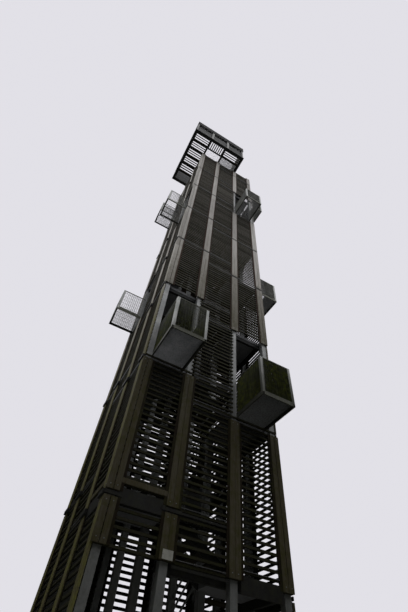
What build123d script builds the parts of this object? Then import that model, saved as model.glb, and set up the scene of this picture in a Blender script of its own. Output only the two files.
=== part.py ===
# Observation tower: a square steel frame, three bays a side, wrapped in horizontal timber slats.
# The stair climbs round an open core, a quarter of a storey from one corner landing to the next.
# Millimetres, +Z up, +X to the right along the front, +Y towards the back.
# The origin is the middle of the underside of the front-left base plate.

import math
import os

from build123d import *

os.makedirs("parts", exist_ok=True)

# Plan: column lines of the square grid
CORNER_BAY = 1420.0
MIDDLE_BAY = 1660.0
GRID = (0.0, CORNER_BAY, CORNER_BAY + MIDDLE_BAY, 2 * CORNER_BAY + MIDDLE_BAY)

# Heights
STOREY = 4000.0
TURNS_A_STOREY = 4
RISERS_A_FLIGHT = 6
SLATS_A_FLIGHT = 6
DECK_LEVEL = 33
WALL_RISE = 183.0

# Pieces that bear on one another are drawn this far apart
SEAT = 0.3

# Steel frame
COLUMN = 180.0
BASE_PLATE = 400.0
BASE_PLATE_T = 20.0
BEAM_W = 100.0
BEAM_H = 180.0

# Landings and flights
LANDING_T = 120.0
STRINGER_W = 50.0
STRINGER_H = 300.0
TREAD_T = 40.0
TREAD_NOSING = 20.0
RAIL = 40.0
RAIL_HEIGHT = 1000.0

# Timber skin
SLAT_D = 22.0
SLAT_H = 55.0
SLAT_LAP = 45.0
CLADDING_W = 300.0
CLADDING_T = 45.0
CLADDING_JOINT = 140.0
CLADDING_JOINT_DROP = 220.0
CLADDING_FOOT = 150.0

# Balconies
BALCONY_GAP = 90.0
BALCONY_DECK_T = 40.0
BALCONY_BEAM_W = 60.0
BALCONY_BEAM_H = 100.0
BALCONY_RAIL_H = 1380.0
BALCONY_PANEL_T = 30.0
BALCONY_POST = 100.0

# Top platform
PLATFORM_REACH = 1530.0
PLATFORM_BEAM_W = 150.0
PLATFORM_BEAM_H = 120.0
PLATFORM_EDGE_W = 240.0
JOIST_W = 100.0
DECK_BAR_T = 40.0
DECK_PITCH = 175.0
DECK_SLOT = 90.0
PLATFORM_POST = 100.0
PLATFORM_WALL_H = 3110.0
PLATFORM_BOARDS = 6
PLATFORM_BOARD_T = 30.0
PLATFORM_BOARD_GAP = 30.0
RIM_H = 950.0
RIM_T = 60.0

# Which bays open onto a balcony: side, bay (0 to 2 along the side), landing level
FRONT, LEFT, BACK, RIGHT = "front", "left", "back", "right"
BALCONIES = (
    (FRONT, 0, 9),
    (FRONT, 2, 8),
    (FRONT, 2, 24),
    (LEFT, 0, 21),
    (LEFT, 2, 14),
    (LEFT, 2, 26),
    (RIGHT, 0, 16),
    (RIGHT, 0, 28),
    (RIGHT, 2, 11),
    (BACK, 2, 19),
    (BACK, 0, 22),
    (BACK, 2, 31),
)
BALCONY_REACHES = {FRONT: 1500.0, LEFT: 1330.0, BACK: 1280.0, RIGHT: 1280.0}

# Cells of the platform's floor are counted from its front left corner: column, then row. One is
# open over the last flight. Each of the others has a front and a rear half: some are closed, and
# some have their bars along Y instead of X.
STAIR_CELL = (2, 1)
CLOSED_HALVES = {(1, 0, "rear"), (2, 0, "rear"), (0, 2, "rear")}
HALVES_ALONG_Y = {(1, 0, "front")}

# Derived sizes
FLIGHT_RISE = STOREY / TURNS_A_STOREY
RISER = FLIGHT_RISE / RISERS_A_FLIGHT
GOING = MIDDLE_BAY / RISERS_A_FLIGHT
SLAT_PITCH = FLIGHT_RISE / SLATS_A_FLIGHT
TREADS = RISERS_A_FLIGHT - 1
# The last flight climbs one riser's height more than the others, in as many steps
DECK_TOP = DECK_LEVEL * FLIGHT_RISE + RISER
WALL_TOP = DECK_TOP + WALL_RISE
PLATFORM_UNDERSIDE = DECK_TOP - DECK_BAR_T - PLATFORM_BEAM_H - 2 * SEAT
TOWER = GRID[-1]
HALF = COLUMN / 2
SKIN_IN = HALF + SEAT
SKIN_OUT = SKIN_IN + SLAT_D
CLADDING_IN = SKIN_OUT + SEAT
TIMBER_FACE = CLADDING_IN + CLADDING_T
BEAM_IN = HALF + SEAT
INSIDE = BEAM_IN + BEAM_W
BALCONY_DEPTH = BALCONY_BEAM_H + SEAT
FRONT_SKIN_FOOT = STOREY - CLADDING_JOINT_DROP + CLADDING_JOINT / 2
BAY_FAR = CORNER_BAY - HALF - SEAT

# The platform runs from its overhang at the front and left to the far face of the third columns
PLATFORM_LOW = -PLATFORM_REACH
PLATFORM_HIGH = GRID[2] + HALF

# Landing level that each end of a side belongs to, counted in flights from the ground:
# the front-right corner is at 0, 4, 8 and so on, the front-left one at 1, 5, 9
CORNER_TURN = {"front_right": 0, "front_left": 1, "back_left": 2, "back_right": 3}
SIDE_CORNERS = {
    FRONT: ("front_left", "front_right"),
    LEFT: ("front_left", "back_left"),
    BACK: ("back_left", "back_right"),
    RIGHT: ("front_right", "back_right"),
}
ALONG_X = (FRONT, BACK)
OUTWARDS = {FRONT: 1, RIGHT: 1, BACK: -1, LEFT: -1}


def elevation(side, out):
    """Upright plane of a side, out from its column line: X along the side, Y up."""
    if side == FRONT:
        return Plane(origin=(0, -out, 0), x_dir=(1, 0, 0), z_dir=(0, -1, 0))
    if side == BACK:
        return Plane(origin=(0, TOWER + out, 0), x_dir=(1, 0, 0), z_dir=(0, -1, 0))
    if side == LEFT:
        return Plane(origin=(-out, 0, 0), x_dir=(0, 1, 0), z_dir=(1, 0, 0))
    return Plane(origin=(TOWER + out, 0, 0), x_dir=(0, 1, 0), z_dir=(1, 0, 0))


def boards(side, out, depth, outlines):
    """Pieces of one thickness on a side, from out to out + depth outside its column line.
    Each outline is a start and end along the side and a low and high Z."""
    places = {}
    for start, end, low_z, high_z in outlines:
        size = (round(end - start, 6), round(high_z - low_z, 6))
        places.setdefault(size, []).append(((start + end) / 2, (low_z + high_z) / 2))
    with BuildSketch(elevation(side, out)) as drawn:
        for (width, height), centres in places.items():
            with Locations(*centres):
                Rectangle(width, height)
    extrude(drawn.sketch, amount=OUTWARDS[side] * depth)


def bar(low_x, high_x, low_y, high_y, low_z, high_z):
    """One straight piece, added to the part whose block is open."""
    middle = ((low_x + high_x) / 2, (low_y + high_y) / 2, low_z)
    with Locations(middle):
        Box(high_x - low_x, high_y - low_y, high_z - low_z, align=(Align.CENTER, Align.CENTER, Align.MIN))


def save(piece, name):
    piece.part.label = name
    export_step(piece.part, f"parts/{name}.step")


def open_bays(side, low_z, high_z):
    """Bays of a side that a balcony opens between two heights, from its beams upwards."""
    bays = set()
    for where, bay, level in BALCONIES:
        floor = level * FLIGHT_RISE
        if where == side and high_z > floor - BALCONY_DEPTH and low_z < floor + STOREY:
            bays.add(bay)
    return bays


def levels(corner, top):
    """Landing levels of a corner, in flights from the ground."""
    first = CORNER_TURN[corner] or TURNS_A_STOREY
    return range(first, top + 1, TURNS_A_STOREY)


# Columns and base plates
COLUMN_LINES = [(i, j) for i in range(len(GRID)) for j in range(len(GRID))]


def column_top(i, j):
    under_platform = i < 3 and j < 3
    return PLATFORM_UNDERSIDE if under_platform else WALL_TOP


def column_set(i, j):
    edge_x = i in (0, 3)
    edge_y = j in (0, 3)
    if edge_x and edge_y:
        return "corner_columns"
    if edge_y:
        return "front_columns" if j == 0 else "back_columns"
    if edge_x:
        return "left_columns" if i == 0 else "right_columns"
    return "core_columns"


for name in sorted({column_set(i, j) for i, j in COLUMN_LINES}):
    with BuildPart() as columns:
        for i, j in COLUMN_LINES:
            if column_set(i, j) == name:
                with BuildSketch(Plane.XY.offset(BASE_PLATE_T)):
                    with Locations((GRID[i], GRID[j])):
                        Rectangle(COLUMN, COLUMN)
                extrude(amount=column_top(i, j) - BASE_PLATE_T)
    save(columns, name)

with BuildPart() as base_plates:
    with BuildSketch():
        with Locations(*[(GRID[i], GRID[j]) for i, j in COLUMN_LINES]):
            Rectangle(BASE_PLATE, BASE_PLATE)
    extrude(amount=BASE_PLATE_T)
save(base_plates, "base_plates")


# Landings: a tray in each corner bay, with a tongue half a going into each flight's bay
TONGUE = CORNER_BAY + GOING / 2


def landing_plates(corner):
    """Low and high X and Y of a tray that reaches into the flight along X, and of the tongue
    beside it that reaches into the flight along Y."""
    on_right = corner.endswith("right")
    on_back = corner.startswith("back")
    plates = []
    for near_y, reach_x, reach_y in ((BEAM_IN, TONGUE, BAY_FAR), (BAY_FAR + SEAT, BAY_FAR, TONGUE)):
        low_x, high_x = (TOWER - reach_x, TOWER - BEAM_IN) if on_right else (BEAM_IN, reach_x)
        low_y, high_y = (TOWER - reach_y, TOWER - near_y) if on_back else (near_y, reach_y)
        plates.append((low_x, high_x, low_y, high_y))
    return plates


for corner in CORNER_TURN:
    with BuildPart() as tray:
        with BuildSketch():
            for low_x, high_x, low_y, high_y in landing_plates(corner):
                with Locations(((low_x + high_x) / 2, (low_y + high_y) / 2)):
                    Rectangle(high_x - low_x, high_y - low_y)
        extrude(amount=-LANDING_T)
    with BuildPart() as landings:
        with Locations(*[(0, 0, level * FLIGHT_RISE) for level in levels(corner, DECK_LEVEL - 1)]):
            add(tray.part)
    save(landings, f"landings_{corner}")


# Perimeter beams under the landings: along a side from its corner over two bays
def beam_run(corner, side):
    """Start and end of a landing's beam along a side."""
    at_low_end = SIDE_CORNERS[side][0] == corner
    start = 0 if at_low_end else GRID[1] - HALF
    end = GRID[2] + HALF if at_low_end else TOWER
    if side not in ALONG_X:
        if at_low_end:
            start = INSIDE + SEAT
        else:
            end = TOWER - INSIDE - SEAT
    return start, end


for side, corners in SIDE_CORNERS.items():
    outlines = []
    for corner in corners:
        start, end = beam_run(corner, side)
        for level in levels(corner, DECK_LEVEL - 1):
            top = level * FLIGHT_RISE - LANDING_T - SEAT
            outlines.append((start, end, top - BEAM_H, top))
    with BuildPart() as beams:
        boards(side, -INSIDE, BEAM_W, outlines)
    save(beams, f"landing_beams_{side}")


# Flights: number n climbs from level n to level n + 1, and the sides follow one another
# front, left, back, right. Along its own run each flight starts at 0 and ends at MIDDLE_BAY.
FLIGHT_ORDER = (FRONT, LEFT, BACK, RIGHT)
RUNS_BACKWARDS = {FRONT: True, LEFT: False, BACK: False, RIGHT: True}


def flight_climb(number):
    """Height from the foot of a flight to its head."""
    return DECK_TOP - number * FLIGHT_RISE if number == DECK_LEVEL - 1 else FLIGHT_RISE


def run_to_plan(side, run):
    """Coordinate along the side of a distance along the flight."""
    return GRID[2] - run if RUNS_BACKWARDS[side] else GRID[1] + run


def slopes(side, inset, width, run_start, run_end, tops, height):
    """Sloping pieces with upright ends, from inset inside the side's column line and width
    further in. Each of tops is the Z of a piece's top edge at its two ends. A piece that would
    reach the ground is cut off level above the base plates."""
    start = run_to_plan(side, run_start)
    end = run_to_plan(side, run_end)
    ground = BASE_PLATE_T + SEAT
    with BuildSketch(elevation(side, -inset)) as drawn:
        for low_top, high_top in tops:
            foot = [(start, low_top - height)]
            if foot[0][1] < ground:
                share = (ground - foot[0][1]) / (high_top - low_top)
                foot = [(start + share * (end - start), ground), (start, ground)]
            with BuildLine():
                Polyline((start, low_top), (end, high_top), (end, high_top - height), *foot, close=True)
            make_face()
    extrude(drawn.sketch, amount=-OUTWARDS[side] * width)


def tread_outline(side, flight, step):
    """Tread 1 to 5 of a flight, seen from the side."""
    front = GOING / 2 + (step - 1) * GOING - (TREAD_NOSING if step > 1 else -SEAT)
    back = GOING / 2 + step * GOING - SEAT
    start, end = sorted((run_to_plan(side, front), run_to_plan(side, back)))
    top = flight * FLIGHT_RISE + step * flight_climb(flight) / RISERS_A_FLIGHT
    return start, end, top - TREAD_T, top


INNER_STRINGER = BAY_FAR - STRINGER_W
OUTER_STRINGER = INSIDE + SEAT
TREAD_W = INNER_STRINGER - OUTER_STRINGER - STRINGER_W - 2 * SEAT

for turn, side in enumerate(FLIGHT_ORDER):
    flights = range(turn, DECK_LEVEL, TURNS_A_STOREY)

    with BuildPart() as stringers:
        run_low = GOING / 2 + SEAT
        run_high = MIDDLE_BAY - GOING / 2 - SEAT
        tops = []
        for flight in flights:
            foot = flight * FLIGHT_RISE
            climb = flight_climb(flight)
            tops.append((foot + climb / RISERS_A_FLIGHT, foot + climb))
        for inset in (OUTER_STRINGER, INNER_STRINGER):
            slopes(side, inset, STRINGER_W, run_low, run_high, tops, STRINGER_H)
    save(stringers, f"stringers_{side}")

    with BuildPart() as treads:
        outlines = [tread_outline(side, flight, step) for flight in flights for step in range(1, TREADS + 1)]
        boards(side, SEAT - INNER_STRINGER, TREAD_W, outlines)
    save(treads, f"treads_{side}")

    with BuildPart() as rails:
        run_low = HALF + SEAT
        run_high = MIDDLE_BAY - HALF - SEAT
        slope = FLIGHT_RISE / MIDDLE_BAY
        tops = []
        for flight in flights:
            rail_foot = flight * FLIGHT_RISE + RAIL_HEIGHT
            if rail_foot + FLIGHT_RISE < PLATFORM_UNDERSIDE:
                tops.append((rail_foot + run_low * slope, rail_foot + run_high * slope))
        slopes(side, CORNER_BAY - RAIL / 2, RAIL, run_low, run_high, tops, RAIL)
    save(rails, f"core_rails_{side}")


# Timber slats: one board a level over the whole side, cut back where a balcony opens a bay
def slat_runs(side, low_z, high_z):
    """Start and end of each board at one height."""
    closed = [bay not in open_bays(side, low_z, high_z) for bay in range(3)]
    end_lap = SKIN_OUT if side in ALONG_X else HALF
    low_end = -end_lap
    if side in (FRONT, LEFT) and high_z > PLATFORM_UNDERSIDE:
        low_end = PLATFORM_HIGH + SEAT
    runs = []
    bay = 0
    while bay < 3:
        if closed[bay]:
            last = bay
            while last < 2 and closed[last + 1]:
                last += 1
            start = low_end if bay == 0 else max(low_end, GRID[bay] + HALF - SLAT_LAP)
            end = TOWER + end_lap if last == 2 else GRID[last + 1] - HALF + SLAT_LAP
            runs.append((start, end))
            bay = last + 1
        bay += 1
    return runs


for side in SIDE_CORNERS:
    foot = FRONT_SKIN_FOOT if side == FRONT else 0.0
    first = max(1, math.ceil((foot - SLAT_H) / SLAT_PITCH))
    last = math.floor((WALL_TOP - SLAT_H) / SLAT_PITCH)
    outlines = []
    for number in range(first, last + 1):
        low_z = number * SLAT_PITCH
        high_z = low_z + SLAT_H
        outlines += [(start, end, low_z, high_z) for start, end in slat_runs(side, low_z, high_z)]
    with BuildPart() as slats:
        boards(side, SKIN_IN, SLAT_D, outlines)
    save(slats, f"slats_{side}")


# Timber cladding: a board up each column face, with an open joint under each landing of its corner
def cladding_lengths(side, post):
    """Low and high Z of each board of a post, counted 0 to 3 along the side."""
    corner = SIDE_CORNERS[side][0 if post < 2 else 1]
    foot = FRONT_SKIN_FOOT if side == FRONT else CLADDING_FOOT
    covered = side in (FRONT, LEFT) and post < 3
    ends = [foot]
    for level in levels(corner, DECK_LEVEL - 1):
        joint = level * FLIGHT_RISE - CLADDING_JOINT_DROP
        if joint > foot:
            ends += [joint - CLADDING_JOINT / 2, joint + CLADDING_JOINT / 2]
    ends.append(PLATFORM_UNDERSIDE - SEAT if covered else WALL_TOP)
    lengths = []
    for low_z, high_z in zip(ends[::2], ends[1::2]):
        middle = (low_z + high_z) / 2
        if not open_bays(side, middle, middle) & {post - 1, post}:
            lengths.append((low_z, high_z))
    return lengths


for side in SIDE_CORNERS:
    outlines = []
    for post, line in enumerate(GRID):
        start = line - CLADDING_W / 2
        end = line + CLADDING_W / 2
        if post == 0:
            start = -TIMBER_FACE if side in ALONG_X else -SKIN_OUT
        if post == 3:
            end = TOWER + (TIMBER_FACE if side in ALONG_X else SKIN_OUT)
        outlines += [(start, end, low_z, high_z) for low_z, high_z in cladding_lengths(side, post)]
    with BuildPart() as cladding:
        boards(side, CLADDING_IN, CLADDING_T, outlines)
    save(cladding, f"cladding_{side}")


# Balconies: each starts at the face of its bay's first column
BALCONY_W = CORNER_BAY - COLUMN - BALCONY_GAP


def balcony_pieces(name, groups):
    """One node of like balcony pieces. A group is a list of outlines and a function. An outline is
    a start and end along the balcony and a low and high Z over its floor. The function turns the
    balcony's reach into the distances out of the column line where the pieces start and end."""
    with BuildPart() as made:
        for side, reach in BALCONY_REACHES.items():
            for outlines, span in groups:
                placed = []
                for where, bay, level in BALCONIES:
                    if where == side:
                        corner = GRID[bay] + HALF + SEAT
                        floor = level * FLIGHT_RISE
                        placed += [(corner + a, corner + b, floor + c, floor + d) for a, b, c, d in outlines]
                out, end = span(reach)
                boards(side, out, end - out, placed)
    save(made, name)


def both_sides(width, low, high):
    """Outlines of the pieces along the two sides of a balcony."""
    return [(0, width, low, high), (BALCONY_W - width, BALCONY_W, low, high)]


def between(margin, low, high):
    """Outline of a piece that stops a margin and a seat short of both sides."""
    return [(margin + SEAT, BALCONY_W - margin - SEAT, low, high)]


balcony_pieces(
    "balcony_beams",
    [
        (both_sides(BALCONY_BEAM_W, -BALCONY_BEAM_H, 0), lambda reach: (-HALF, reach)),
        (between(BALCONY_BEAM_W, -BALCONY_BEAM_H, 0), lambda reach: (reach - BALCONY_BEAM_W, reach)),
    ],
)
balcony_pieces(
    "balcony_decks",
    [(between(BALCONY_BEAM_W, -BALCONY_DECK_T, 0), lambda reach: (-HALF, reach - BALCONY_BEAM_W - SEAT))],
)
balcony_pieces(
    "balcony_side_panels",
    [
        (
            both_sides(BALCONY_PANEL_T, SEAT, BALCONY_RAIL_H),
            lambda reach: (TIMBER_FACE, reach - BALCONY_POST - SEAT),
        )
    ],
)
balcony_pieces(
    "balcony_front_panels",
    [(between(BALCONY_POST, SEAT, BALCONY_RAIL_H), lambda reach: (reach - BALCONY_PANEL_T, reach))],
)
balcony_pieces(
    "balcony_posts",
    [(both_sides(BALCONY_POST, SEAT, BALCONY_RAIL_H), lambda reach: (reach - BALCONY_POST, reach))],
)

# Top platform: beams on the column heads, a deck of bars, posts, wall boards and a deep rim
FRAME_FOOT = PLATFORM_UNDERSIDE + SEAT
FRAME_TOP = FRAME_FOOT + PLATFORM_BEAM_H
POST_INSET = RIM_T + SEAT
BOARD_INSET = POST_INSET + PLATFORM_POST + SEAT
DECK_INSET = BOARD_INSET + PLATFORM_BOARD_T + SEAT
BEAM_BANDS = (
    (PLATFORM_LOW, PLATFORM_LOW + PLATFORM_EDGE_W),
    (GRID[0] - PLATFORM_BEAM_W / 2, GRID[0] + PLATFORM_BEAM_W / 2),
    (GRID[1] - PLATFORM_BEAM_W / 2, GRID[1] + PLATFORM_BEAM_W / 2),
    (PLATFORM_HIGH - PLATFORM_EDGE_W, PLATFORM_HIGH),
)
CELL_EDGES = (PLATFORM_LOW + DECK_INSET, GRID[0], GRID[1], PLATFORM_HIGH - DECK_INSET)
CELLS = [(column, row) for column in range(3) for row in range(3) if (column, row) != STAIR_CELL]


def cell_middle(row):
    return (CELL_EDGES[row] + CELL_EDGES[row + 1]) / 2


with BuildPart() as platform_frame:
    for low, high in BEAM_BANDS:
        bar(PLATFORM_LOW, PLATFORM_HIGH, low, high, FRAME_FOOT, FRAME_TOP)
    for low, high in BEAM_BANDS:
        for front, rear in zip(BEAM_BANDS, BEAM_BANDS[1:]):
            bar(low, high, front[1] + SEAT, rear[0] - SEAT, FRAME_FOOT, FRAME_TOP)
    for column, row in CELLS:
        low_x = BEAM_BANDS[column][1] + SEAT
        high_x = BEAM_BANDS[column + 1][0] - SEAT
        middle = cell_middle(row)
        bar(low_x, high_x, middle - JOIST_W / 2, middle + JOIST_W / 2, FRAME_FOOT, FRAME_TOP)
save(platform_frame, "platform_frame")


def slotted(low, high):
    """Low and high of each bar across a stretch, with half a slot left at its two ends."""
    count = max(1, round((high - low) / DECK_PITCH))
    pitch = (high - low) / count
    return [(low + n * pitch + DECK_SLOT / 2, low + (n + 1) * pitch - DECK_SLOT / 2) for n in range(count)]


with BuildPart() as platform_deck:
    foot = DECK_TOP - DECK_BAR_T
    for column, row in CELLS:
        low_x = CELL_EDGES[column] + SEAT
        high_x = CELL_EDGES[column + 1] - SEAT
        halves = {
            "front": (CELL_EDGES[row] + SEAT, cell_middle(row) - SEAT),
            "rear": (cell_middle(row) + SEAT, CELL_EDGES[row + 1] - SEAT),
        }
        for half, (low_y, high_y) in halves.items():
            if (column, row, half) in CLOSED_HALVES:
                bar(low_x, high_x, low_y, high_y, foot, DECK_TOP)
            elif (column, row, half) in HALVES_ALONG_Y:
                for low, high in slotted(low_x, high_x):
                    bar(low, high, low_y, high_y, foot, DECK_TOP)
            else:
                for low, high in slotted(low_y, high_y):
                    bar(low_x, high_x, low, high, foot, DECK_TOP)
    bar(GRID[1] + SEAT, GRID[1] + GOING / 2, OUTER_STRINGER, BAY_FAR, foot, DECK_TOP)
save(platform_deck, "platform_deck")

# Platform posts stand on the frame's edge, in three equal bays a side
POST_SPAN = PLATFORM_HIGH - PLATFORM_LOW - 2 * POST_INSET - PLATFORM_POST
POST_STARTS = [PLATFORM_LOW + POST_INSET + step * POST_SPAN / 3 for step in range(4)]
PLATFORM_TOP = DECK_TOP + PLATFORM_WALL_H

with BuildPart() as platform_posts:
    for i, x in enumerate(POST_STARTS):
        for j, y in enumerate(POST_STARTS):
            if i in (0, 3) or j in (0, 3):
                bar(x, x + PLATFORM_POST, y, y + PLATFORM_POST, FRAME_TOP + SEAT, PLATFORM_TOP)
save(platform_posts, "platform_posts")


def square_of_boards(inset, thickness, heights):
    """Boards round the platform, their outer faces inset from its edge, each from a low to a high Z."""
    low = PLATFORM_LOW + inset
    high = PLATFORM_HIGH - inset
    for low_z, high_z in heights:
        for edge in (low, high - thickness):
            bar(low, high, edge, edge + thickness, low_z, high_z)
            bar(edge, edge + thickness, low + thickness + SEAT, high - thickness - SEAT, low_z, high_z)


with BuildPart() as platform_rim:
    square_of_boards(0, RIM_T, [(PLATFORM_TOP - RIM_H, PLATFORM_TOP)])
save(platform_rim, "platform_rim")

with BuildPart() as platform_slats:
    foot = FRAME_TOP + SEAT
    pitch = (PLATFORM_TOP - RIM_H - foot) / PLATFORM_BOARDS
    feet = [foot + number * pitch for number in range(PLATFORM_BOARDS)]
    heights = [(low_z, low_z + pitch - PLATFORM_BOARD_GAP) for low_z in feet]
    square_of_boards(BOARD_INSET, PLATFORM_BOARD_T, heights)
save(platform_slats, "platform_slats")
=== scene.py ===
# %% [markdown]
# # An observation tower of galvanised steel and weathered timber
# The tower is a square steel frame, three bays a side, wrapped in horizontal slats. A stair climbs
# round its open core, balconies hang out of single bays, and a wider platform sits on top.
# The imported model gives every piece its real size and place, so this lesson only adds what such a
# model leaves out: gratings, boards, angles, bolts, weathering and light.

# %% Load the frame
import math

import bpy
import bmesh
from mathutils import Matrix, Vector


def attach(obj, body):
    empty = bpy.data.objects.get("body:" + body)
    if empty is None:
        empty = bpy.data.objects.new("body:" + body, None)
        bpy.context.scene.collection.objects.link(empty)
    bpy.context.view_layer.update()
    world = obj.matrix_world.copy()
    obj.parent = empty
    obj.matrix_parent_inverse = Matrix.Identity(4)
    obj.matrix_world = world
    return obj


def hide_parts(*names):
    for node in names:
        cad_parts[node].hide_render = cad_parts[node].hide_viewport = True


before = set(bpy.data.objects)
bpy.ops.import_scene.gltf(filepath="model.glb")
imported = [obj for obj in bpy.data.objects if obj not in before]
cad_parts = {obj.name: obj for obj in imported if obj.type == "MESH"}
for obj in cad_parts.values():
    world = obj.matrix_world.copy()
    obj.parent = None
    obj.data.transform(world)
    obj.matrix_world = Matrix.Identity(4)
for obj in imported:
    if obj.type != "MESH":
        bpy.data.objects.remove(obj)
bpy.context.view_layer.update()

# %% [markdown]
# ## The camera
# The photograph was taken from eye height close to the foot of the tower, looking steeply up with a
# wide lens and the camera turned a little. The vertical edges of the posts and the timber joints
# fix where the camera stood. Building the view from three axes keeps the roll readable.

# %% Camera
EYE = Vector((-1.77, -7.82, 1.55))
VIEW_AZIMUTH = math.radians(23.87)
VIEW_ELEVATION = math.radians(52.35)
VIEW_ROLL = math.radians(6.57)
FOCAL_PIXELS = 342.5
IMAGE_HEIGHT = 612
SENSOR = 36.0

ahead = Vector((
    math.sin(VIEW_AZIMUTH) * math.cos(VIEW_ELEVATION),
    math.cos(VIEW_AZIMUTH) * math.cos(VIEW_ELEVATION),
    math.sin(VIEW_ELEVATION),
))
level_right = Vector((math.cos(VIEW_AZIMUTH), -math.sin(VIEW_AZIMUTH), 0.0))
level_up = level_right.cross(ahead)
right = math.cos(VIEW_ROLL) * level_right + math.sin(VIEW_ROLL) * level_up
up = right.cross(ahead)

camera_data = bpy.data.cameras.new("camera")
camera_data.sensor_width = SENSOR
camera_data.lens = SENSOR * FOCAL_PIXELS / IMAGE_HEIGHT
camera = bpy.data.objects.new("camera", camera_data)
bpy.context.scene.collection.objects.link(camera)
camera.matrix_world = Matrix((
    (right.x, up.x, -ahead.x, EYE.x),
    (right.y, up.y, -ahead.y, EYE.y),
    (right.z, up.z, -ahead.z, EYE.z),
    (0.0, 0.0, 0.0, 1.0),
))
bpy.context.scene.camera = camera
print("lens", round(camera_data.lens, 2), "mm")

# %% [markdown]
# ## Reading the model
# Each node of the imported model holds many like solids. Splitting a node into its solids gives the
# box of every board and beam, so nothing below repeats a size that the model already has.

# %% The solids of a node
SEAT = 0.0003


def solids(node):
    """Lowest and highest corner of each separate solid of a node, from the ground up."""
    mesh = bmesh.new()
    mesh.from_mesh(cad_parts[node].data)
    bmesh.ops.remove_doubles(mesh, verts=mesh.verts, dist=SEAT / 10)
    waiting = set(mesh.verts)
    boxes = []
    while waiting:
        group = [waiting.pop()]
        for vertex in group:
            for edge in vertex.link_edges:
                other = edge.other_vert(vertex)
                if other in waiting:
                    waiting.remove(other)
                    group.append(other)
        low = Vector([min(v.co[axis] for v in group) for axis in range(3)])
        high = Vector([max(v.co[axis] for v in group) for axis in range(3)])
        boxes.append((low, high))
    mesh.free()
    return sorted(boxes, key=lambda box: (round(box[0].z, 3), round(box[0].x, 3), round(box[0].y, 3)))


# %% Column lines and the four sides
plates = solids("base_plates")
GRID = sorted({round((low.x + high.x) / 2, 3) for low, high in plates})
TOWER = GRID[-1]
HALF = (solids("core_columns")[0][1].x - solids("core_columns")[0][0].x) / 2
AXIS_X, AXIS_Y, AXIS_Z = Vector((1, 0, 0)), Vector((0, 1, 0)), Vector((0, 0, 1))

SIDES = {
    "front": (Vector((0, 0, 0)), AXIS_X, -AXIS_Y),
    "back": (Vector((0, TOWER, 0)), AXIS_X, AXIS_Y),
    "left": (Vector((0, 0, 0)), AXIS_Y, -AXIS_X),
    "right": (Vector((TOWER, 0, 0)), AXIS_Y, AXIS_X),
}


def on_side(side, along, out, z):
    """Point at a distance along a side, out from its column line, and up."""
    start, run, outwards = SIDES[side]
    return start + run * along + outwards * out + AXIS_Z * z


def side_span(side, box):
    """Start and end along a side, and nearest and furthest distance out from its column line."""
    start, run, outwards = SIDES[side]
    alongs = sorted((corner - start).dot(run) for corner in box)
    outs = sorted((corner - start).dot(outwards) for corner in box)
    return alongs[0], alongs[1], outs[0], outs[1]


def side_axis(side):
    """The axis, 0 or 1, that a side runs along."""
    return int(SIDES[side][1].y)


def long_axis(low, high):
    """The level axis, 0 or 1, that a box is longer along."""
    return 0 if high.x - low.x > high.y - low.y else 1


print("column lines", GRID)

# %% [markdown]
# ## Making pieces
# Boards, plates and rolled steel are straight, so two shapes are enough: a box, and an outline swept
# along a straight line. Small chamfers on the outline catch the light along each edge.

# %% Shapes
def add_box(mesh, one, other):
    """A box between two opposite corners."""
    low = Vector([min(a, b) for a, b in zip(one, other)])
    high = Vector([max(a, b) for a, b in zip(one, other)])
    turn = Matrix.Translation((low + high) / 2) @ Matrix.Diagonal((*(high - low), 1.0))
    bmesh.ops.create_cube(mesh, size=1.0, matrix=turn)


def add_sweep(mesh, outline, travel):
    """A closed outline swept along a straight line, with its faces outwards."""
    area = sum((a.cross(b) for a, b in zip(outline, outline[1:] + outline[:1])), Vector())
    if area.dot(travel) < 0:
        outline = outline[::-1]
    near = [mesh.verts.new(point) for point in outline]
    far = [mesh.verts.new(point + travel) for point in outline]
    mesh.faces.new(near[::-1])
    mesh.faces.new(far)
    for i, corner in enumerate(near):
        j = (i + 1) % len(near)
        mesh.faces.new((corner, near[j], far[j], far[i]))


def chamfered(width, depth, chamfer):
    """Corners of a rectangle about its own middle, with its four corners cut off."""
    w, d, c = width / 2, depth / 2, chamfer
    return [
        (-w + c, -d), (w - c, -d), (w, -d + c), (w, d - c),
        (w - c, d), (-w + c, d), (-w, d - c), (-w, -d + c),
    ]


def add_board(mesh, low, high, axis, chamfer):
    """A board that fills a box and runs along one axis, 0 to 2, with cut edges along its length."""
    first, second = [number for number in range(3) if number != axis]
    middle = (low + high) / 2
    outline = []
    for a, b in chamfered(high[first] - low[first], high[second] - low[second], chamfer):
        point = middle.copy()
        point[first] += a
        point[second] += b
        point[axis] = low[axis]
        outline.append(point)
    travel = Vector((0, 0, 0))
    travel[axis] = high[axis] - low[axis]
    add_sweep(mesh, outline, travel)


# %% Pieces
def add_piece(name, data, material, stands_for=()):
    """Put a mesh in the scene, ride it on the tower and hide the nodes it stands for."""
    piece = bpy.data.objects.new(name, data)
    bpy.context.scene.collection.objects.link(piece)
    data.materials.clear()
    data.materials.append(material)
    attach(piece, "root")
    if stands_for:
        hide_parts(*stands_for)


def piece_from(name, mesh, material, stands_for=()):
    """Turn an edit mesh into a piece."""
    bmesh.ops.recalc_face_normals(mesh, faces=mesh.faces)
    data = bpy.data.meshes.new(name)
    mesh.to_mesh(data)
    mesh.free()
    print(name, len(data.polygons), "faces")
    add_piece(name, data, material, stands_for)


# %% [markdown]
# ## Repeats made by nodes
# Gratings are one bar repeated at a fixed spacing. A short node tree walks along guide lines and
# sets a bar at each step. Every guide line carries the size of its own bar as an attribute, so one
# tree makes all floors and guards. A second tree sets bolt heads on loose points.

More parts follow.
